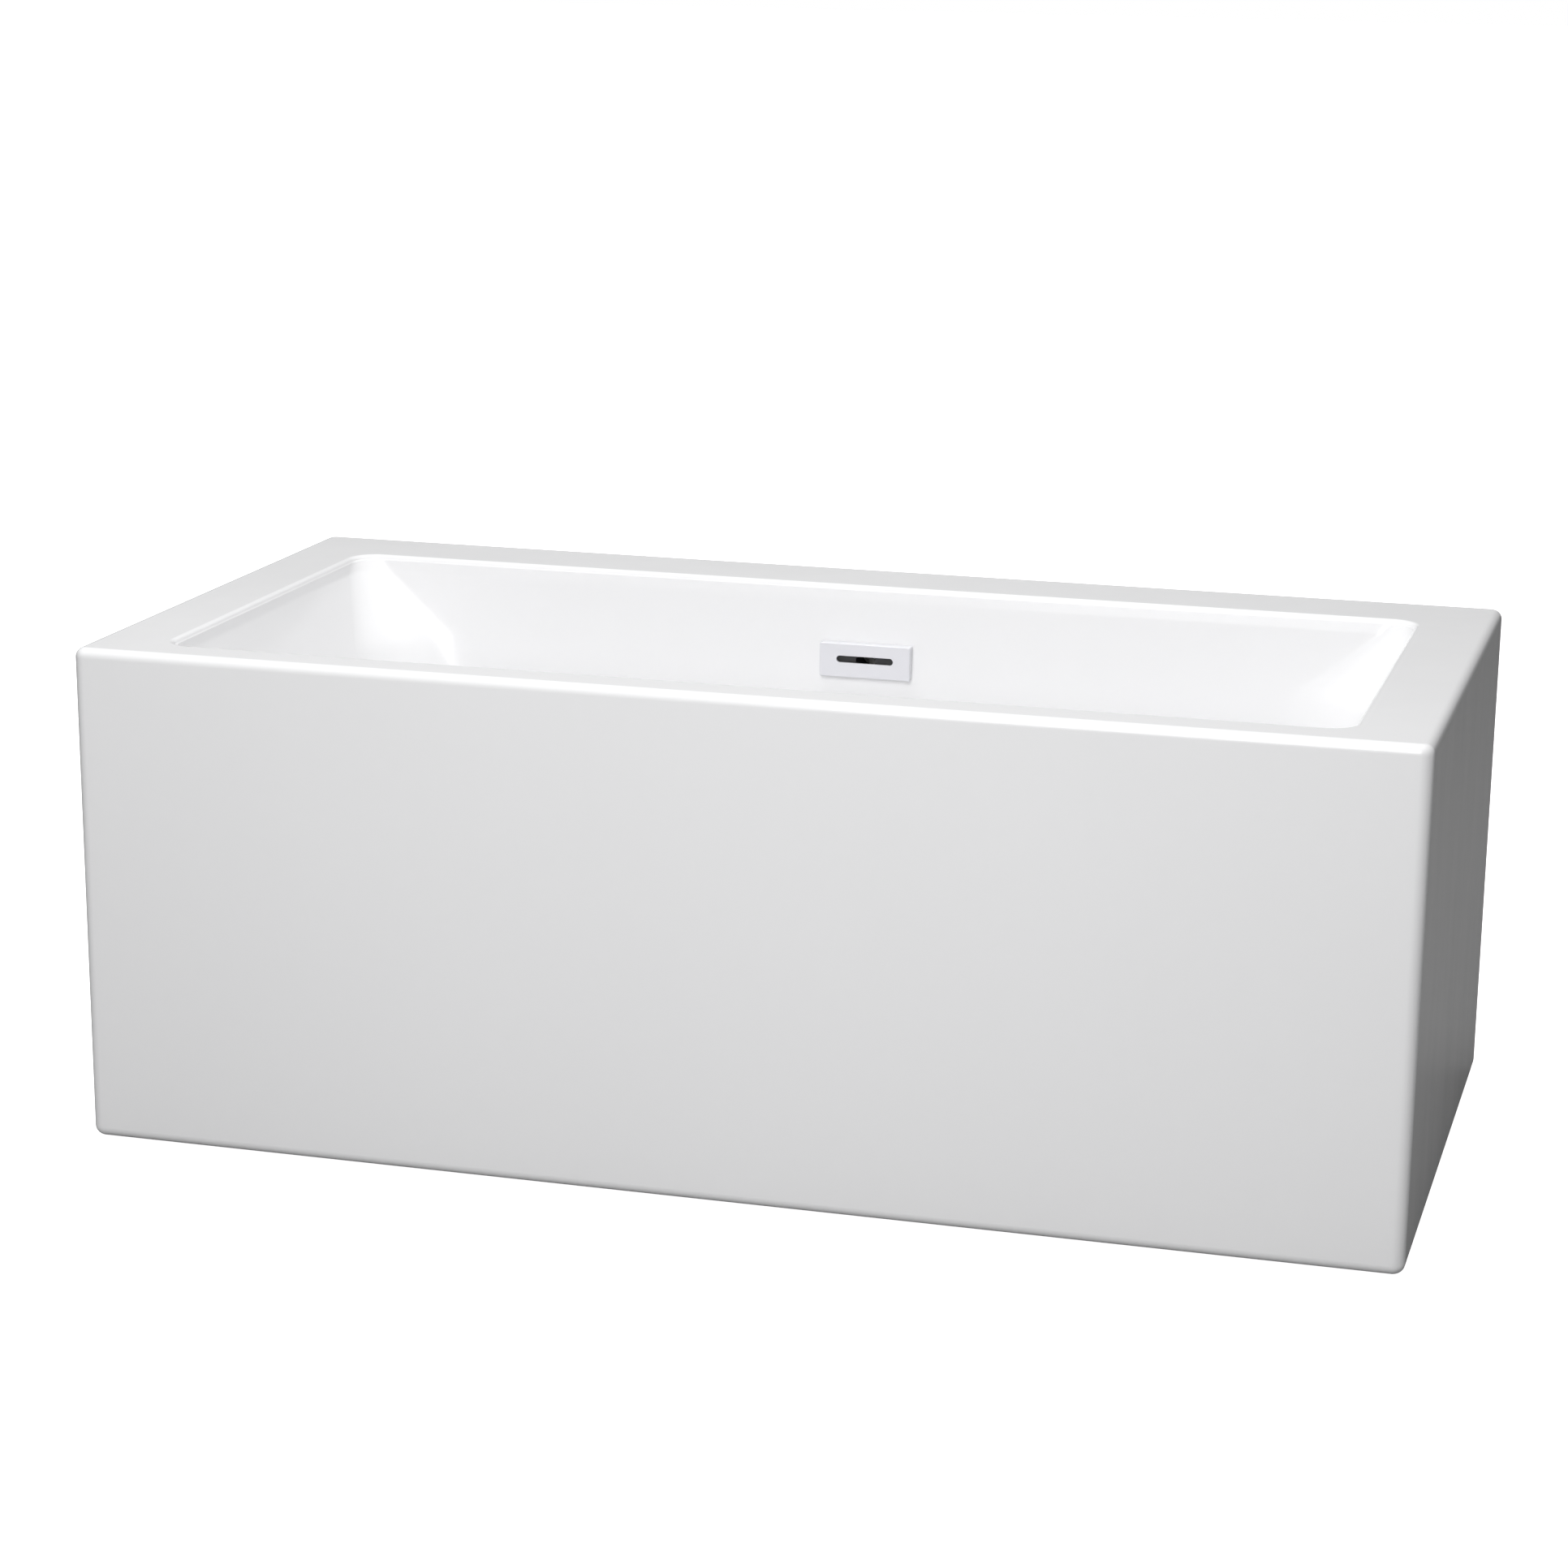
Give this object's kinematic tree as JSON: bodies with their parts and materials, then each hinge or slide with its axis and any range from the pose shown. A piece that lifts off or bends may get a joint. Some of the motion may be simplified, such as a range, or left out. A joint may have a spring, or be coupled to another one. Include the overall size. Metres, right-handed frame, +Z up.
{
  "type": "freestanding bathtub",
  "caption": "Rectangular double-ended freestanding bath with a flat rim, a slotted overflow cover, a push-to-close waste, a steel frame and levelling feet.",
  "frame": {"origin": "on the ground under the middle of the bath", "axes": "+X along the bath towards its right-hand end, -Y towards its front, +Z up"},
  "size_m": [1.524, 0.756, 0.584],
  "materials": {
    "acrylic": "glossy white acrylic",
    "laminate": "rough sprayed glass-fibre laminate",
    "timber": "sawn softwood",
    "plywood": "plywood",
    "frame_steel": "grey powder-coated steel tube",
    "zinc_steel": "zinc-plated steel",
    "black_plastic": "moulded black polypropylene",
    "white_trim": "gloss white trim",
    "pipe_plastic": "moulded white polypropylene",
    "black_rubber": "black rubber",
    "brass": "turned brass"
  },
  "bodies": {
    "bath": {"basin_shell": "acrylic", "skirt_shell": "acrylic", "joint_strip": "laminate", "basin_laminate": "laminate", "skirt_laminate": "laminate", "batten_front": "timber", "batten_back": "timber", "batten_left": "timber", "batten_right": "timber", "floor_board": "plywood", "frame_rail_front": "frame_steel", "frame_rail_back": "frame_steel", "frame_cross_left": "frame_steel", "frame_cross_middle_left": "frame_steel", "frame_cross_middle_right": "frame_steel", "frame_cross_right": "frame_steel", "tube_end_caps": "black_plastic", "skirt_brackets": "zinc_steel", "board_screws": "zinc_steel", "bracket_screws": "zinc_steel", "foot_weld_nuts": "zinc_steel", "waste_flange": "white_trim", "waste_gasket": "black_rubber", "waste_washer": "black_rubber", "waste_body": "pipe_plastic", "stopper_latch": "brass", "outlet_pipe": "pipe_plastic", "outlet_nut": "pipe_plastic", "outlet_seal": "black_rubber", "pipe_lower_nut": "pipe_plastic", "pipe_lower_seal": "black_rubber", "pipe_upper_nut": "pipe_plastic", "pipe_upper_seal": "black_rubber", "overflow_pipe": "pipe_plastic", "overflow_elbow": "pipe_plastic", "overflow_carrier": "black_plastic", "overflow_gasket": "black_rubber", "overflow_washer": "black_rubber", "overflow_cover": "white_trim", "overflow_grub_screws": "zinc_steel", "foot_front_left_lock_nut": "zinc_steel", "foot_front_right_lock_nut": "zinc_steel", "foot_back_left_lock_nut": "zinc_steel", "foot_back_right_lock_nut": "zinc_steel", "foot_middle_lock_nut": "zinc_steel"},
    "stopper": {"stopper_cap": "white_trim", "stopper_seal": "black_rubber", "stopper_stem": "zinc_steel"},
    "foot_front_left_shoe": {"foot_front_left_pad": "black_plastic"},
    "foot_front_left_screw": {"foot_front_left_stud": "zinc_steel"},
    "foot_front_right_shoe": {"foot_front_right_pad": "black_plastic"},
    "foot_front_right_screw": {"foot_front_right_stud": "zinc_steel"},
    "foot_back_left_shoe": {"foot_back_left_pad": "black_plastic"},
    "foot_back_left_screw": {"foot_back_left_stud": "zinc_steel"},
    "foot_back_right_shoe": {"foot_back_right_pad": "black_plastic"},
    "foot_back_right_screw": {"foot_back_right_stud": "zinc_steel"},
    "foot_middle_shoe": {"foot_middle_pad": "black_plastic"},
    "foot_middle_screw": {"foot_middle_stud": "zinc_steel"}
  },
  "joints": [
    {"name": "stopper_lift", "type": "slide", "parent": "bath", "child": "stopper", "axis": [0, 0, 1], "range_m": [0, 0.009]},
    {"name": "foot_front_left_height", "type": "slide", "parent": "bath", "child": "foot_front_left_shoe", "axis": [0, 0, 1], "range_m": [-0.018, 0.002]},
    {"name": "foot_front_left_turn", "type": "hinge", "parent": "foot_front_left_shoe", "child": "foot_front_left_screw", "pos_m": [-0.56, -0.28, 0.04], "axis": [0, 0, 1], "range_deg": [-3702.9, 411.5]},
    {"name": "foot_front_right_height", "type": "slide", "parent": "bath", "child": "foot_front_right_shoe", "axis": [0, 0, 1], "range_m": [-0.018, 0.002]},
    {"name": "foot_front_right_turn", "type": "hinge", "parent": "foot_front_right_shoe", "child": "foot_front_right_screw", "pos_m": [0.56, -0.28, 0.04], "axis": [0, 0, 1], "range_deg": [-3702.9, 411.5]},
    {"name": "foot_back_left_height", "type": "slide", "parent": "bath", "child": "foot_back_left_shoe", "axis": [0, 0, 1], "range_m": [-0.018, 0.002]},
    {"name": "foot_back_left_turn", "type": "hinge", "parent": "foot_back_left_shoe", "child": "foot_back_left_screw", "pos_m": [-0.56, 0.28, 0.04], "axis": [0, 0, 1], "range_deg": [-3702.9, 411.5]},
    {"name": "foot_back_right_height", "type": "slide", "parent": "bath", "child": "foot_back_right_shoe", "axis": [0, 0, 1], "range_m": [-0.018, 0.002]},
    {"name": "foot_back_right_turn", "type": "hinge", "parent": "foot_back_right_shoe", "child": "foot_back_right_screw", "pos_m": [0.56, 0.28, 0.04], "axis": [0, 0, 1], "range_deg": [-3702.9, 411.5]},
    {"name": "foot_middle_height", "type": "slide", "parent": "bath", "child": "foot_middle_shoe", "axis": [0, 0, 1], "range_m": [-0.018, 0.002]},
    {"name": "foot_middle_turn", "type": "hinge", "parent": "foot_middle_shoe", "child": "foot_middle_screw", "pos_m": [0.15, -0.029, 0.04], "axis": [0, 0, 1], "range_deg": [-3702.9, 411.5]}
  ],
  "couplings": [
    {"joint": "foot_front_left_turn", "follows": "foot_front_left_height", "rad_per_m": 3590.4},
    {"joint": "foot_front_right_turn", "follows": "foot_front_right_height", "rad_per_m": 3590.4},
    {"joint": "foot_back_left_turn", "follows": "foot_back_left_height", "rad_per_m": 3590.4},
    {"joint": "foot_back_right_turn", "follows": "foot_back_right_height", "rad_per_m": 3590.4},
    {"joint": "foot_middle_turn", "follows": "foot_middle_height", "rad_per_m": 3590.4}
  ]
}
